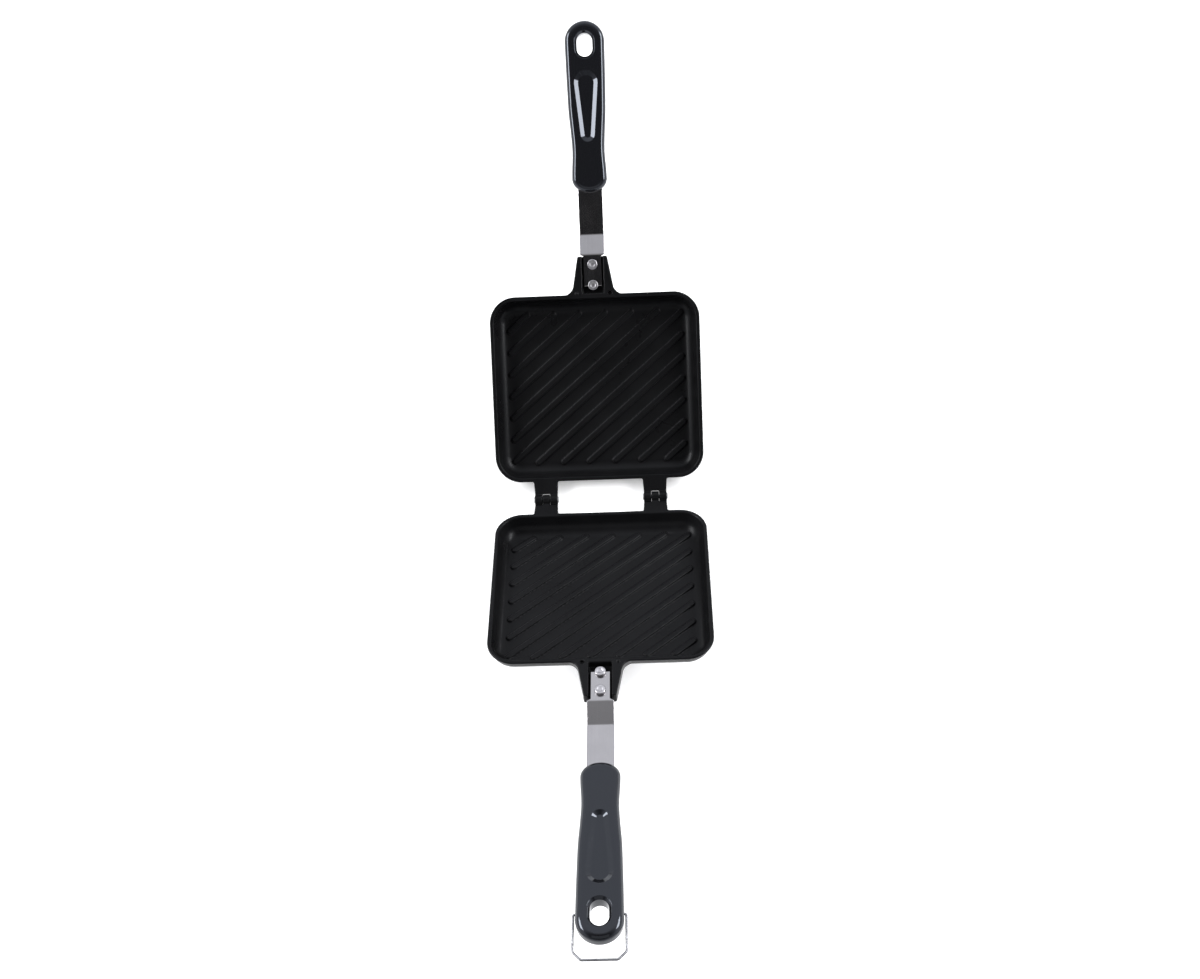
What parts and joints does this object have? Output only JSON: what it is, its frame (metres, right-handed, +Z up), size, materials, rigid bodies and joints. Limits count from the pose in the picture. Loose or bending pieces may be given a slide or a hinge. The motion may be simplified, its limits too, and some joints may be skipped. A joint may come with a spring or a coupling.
{
  "type": "pie iron",
  "caption": "Hinged double pan with grill ribs for toasting filled bread, on long strap handles with moulded grips and a wire bail that latches them shut.",
  "frame": {"origin": "centre of the bounding box's bottom face, on the surface that the open iron stands on", "axes": "+Z up; X along the hinge; +Y towards the upper half, so the lower half with the latch bail is in front at -Y; stored open as in the picture, both halves leaning up from the hinge"},
  "size_m": [0.145, 0.607, 0.1401],
  "materials": {
    "pan_coating": "black satin non-stick coating over cast aluminium, fine pebbled grain",
    "strap_steel": "brushed stainless steel",
    "rivet_metal": "bright, peened and dimpled head",
    "pin_steel": "dark coated steel",
    "grip_plastic": "glossy black heat-proof moulded plastic",
    "bail_wire": "bright spring steel wire"
  },
  "bodies": {
    "lower_half": {"lower_pan": "pan_coating", "lower_strap": "strap_steel", "lower_rivet_inner": "rivet_metal", "lower_rivet_outer": "rivet_metal", "lower_grip": "grip_plastic"},
    "upper_half": {"upper_pan": "pan_coating", "hinge_pin_left": "pin_steel", "hinge_pin_right": "pin_steel", "upper_strap": "strap_steel", "upper_rivet_inner": "rivet_metal", "upper_rivet_outer": "rivet_metal", "upper_grip": "grip_plastic"},
    "bail": {"latch_bail": "bail_wire"}
  },
  "joints": [
    {"name": "main_hinge", "type": "hinge", "parent": "lower_half", "child": "upper_half", "pos_m": [0, 0.00418, 0.00421], "axis": [1, 0, 0], "range_deg": [0, 130]},
    {"name": "bail_swing", "type": "hinge", "parent": "lower_half", "child": "bail", "pos_m": [0, -0.27894, 0.12746], "axis": [-1, 0, 0], "range_deg": [-166, 113.5]}
  ]
}
